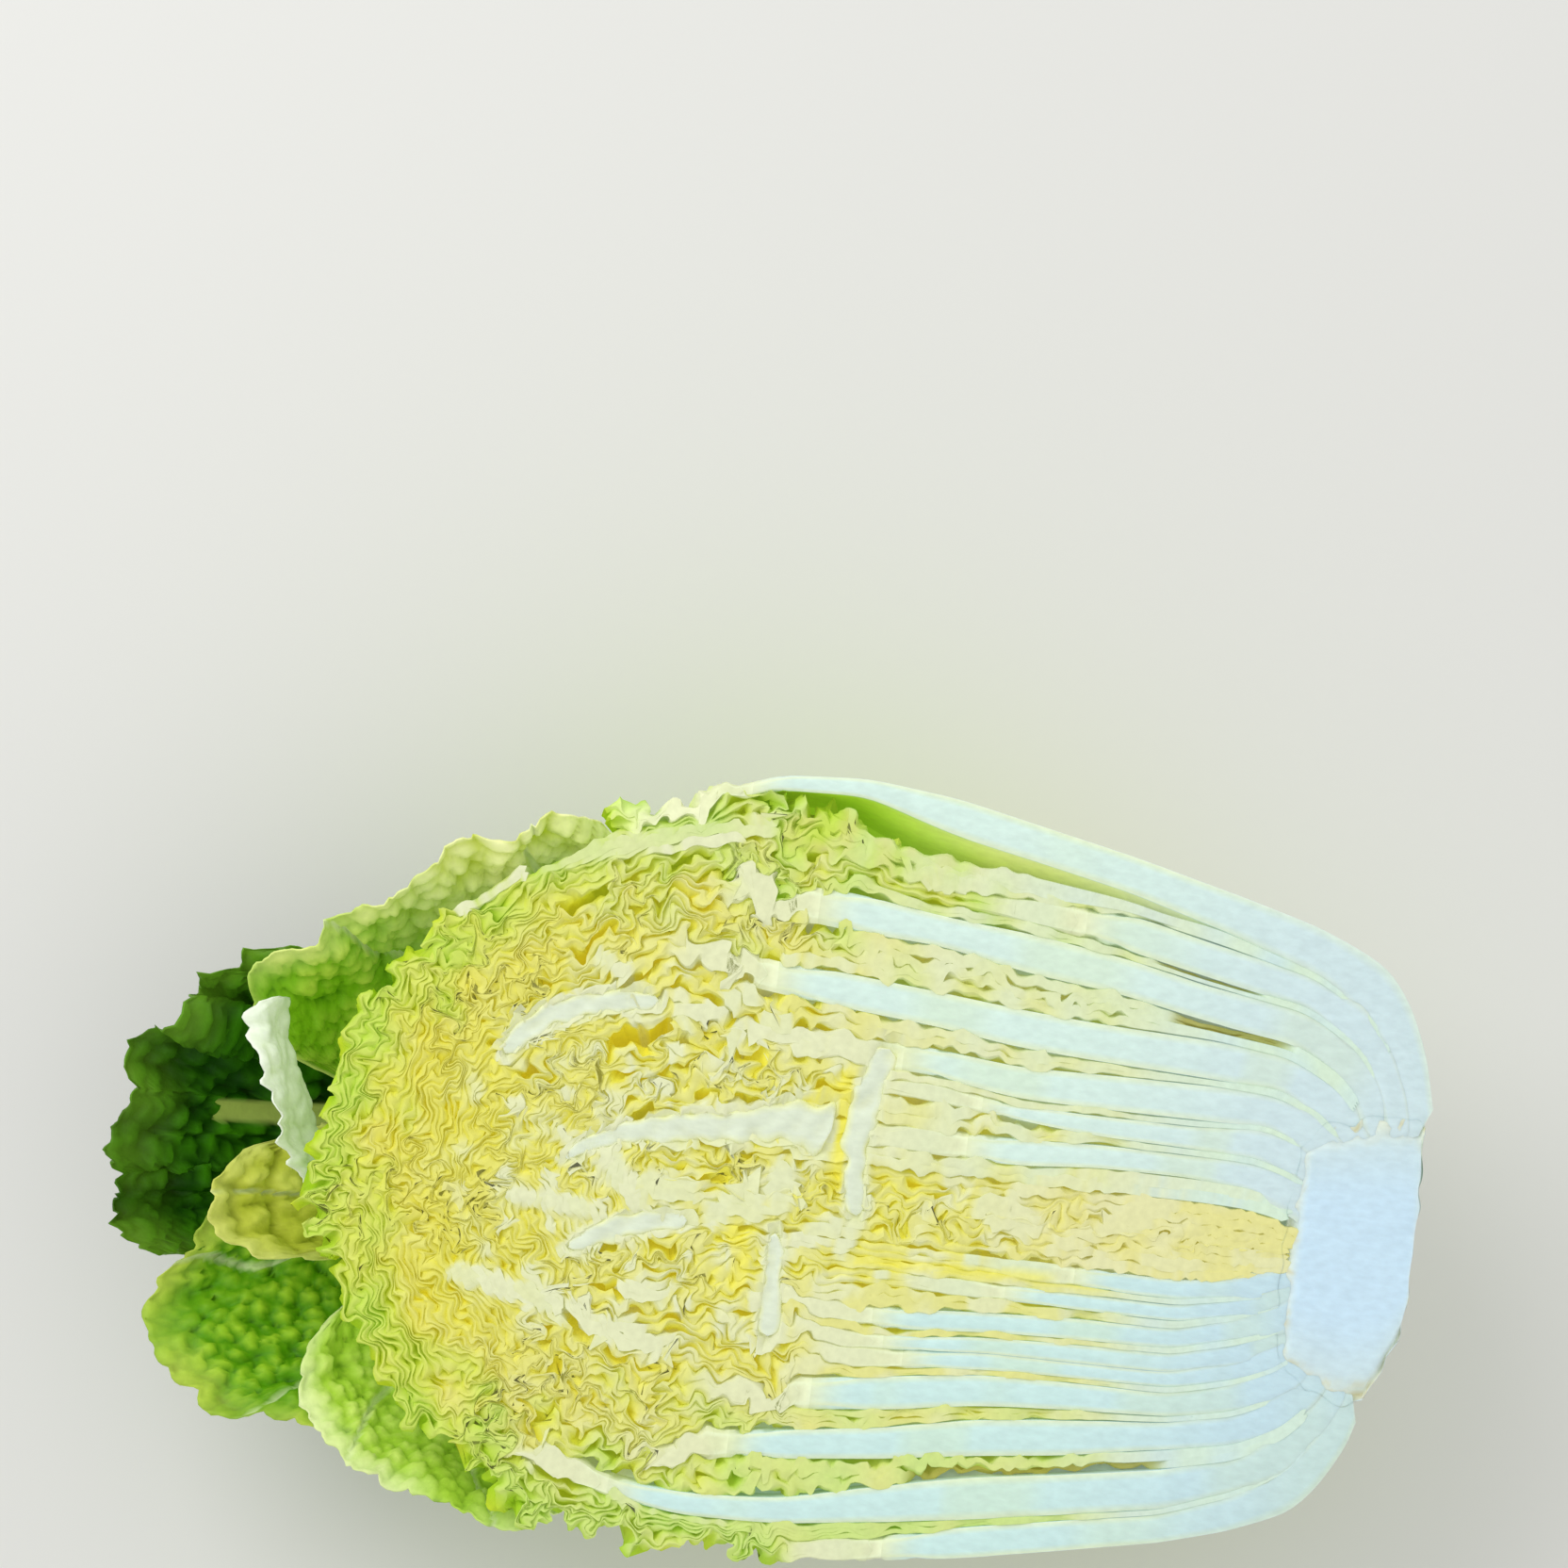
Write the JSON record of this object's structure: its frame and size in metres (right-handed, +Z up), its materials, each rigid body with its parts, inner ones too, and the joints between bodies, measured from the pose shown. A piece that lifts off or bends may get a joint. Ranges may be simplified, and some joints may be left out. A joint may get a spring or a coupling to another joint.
{
  "type": "napa cabbage half",
  "caption": "Napa cabbage cut lengthwise, cut face up: white leaf ribs fan from a short core into crinkled yellow leaves, with loose ruffled green outer leaves at the tip.",
  "frame": {"origin": "centre of the bounding box's bottom, on the surface that the half rests on", "axes": "+X from the leafy tip towards the cut stem end, +Y towards the left side seen from above with the stem end to the right and away from the viewer, +Z up, square to the cut face"},
  "size_m": [0.2902, 0.1714, 0.0845],
  "materials": {
    "core": "moist cut",
    "heart": "crinkled, satin",
    "rib_leaf": "satin, moist at the cut",
    "wing_leaf": "crinkled, satin",
    "cut_rib": "moist cut",
    "pale_leaf": "blistered, satin",
    "white_leaf": "satin",
    "green_leaf": "blistered, satin",
    "dark_leaf": "blistered, satin"
  },
  "bodies": {
    "root": {"core": "core", "heart": "heart", "left_leaf_1": "rib_leaf", "left_leaf_2": "rib_leaf", "left_leaf_3": "rib_leaf", "left_leaf_4": "rib_leaf", "left_leaf_5": "rib_leaf", "left_leaf_6": "rib_leaf", "left_leaf_7": "rib_leaf", "right_leaf_1": "rib_leaf", "right_leaf_2": "rib_leaf", "right_leaf_3": "rib_leaf", "right_leaf_4": "rib_leaf", "right_leaf_5": "rib_leaf", "right_leaf_6": "rib_leaf", "right_leaf_7": "rib_leaf", "right_leaf_8": "rib_leaf", "right_leaf_9": "rib_leaf", "back_leaf_1": "wing_leaf", "back_leaf_2": "wing_leaf", "back_leaf_3": "wing_leaf", "back_leaf_4": "wing_leaf", "back_leaf_5": "wing_leaf", "back_leaf_6": "wing_leaf", "back_leaf_7": "wing_leaf", "inner_rib_1": "cut_rib", "inner_rib_2": "cut_rib", "inner_rib_3": "cut_rib", "inner_rib_4": "cut_rib", "inner_rib_5": "cut_rib", "outer_pale_leaf": "pale_leaf", "outer_white_leaf": "white_leaf", "outer_olive_leaf": "pale_leaf", "outer_green_leaf": "green_leaf", "outer_long_leaf": "pale_leaf", "outer_keel_leaf": "dark_leaf"}
  },
  "joints": []
}
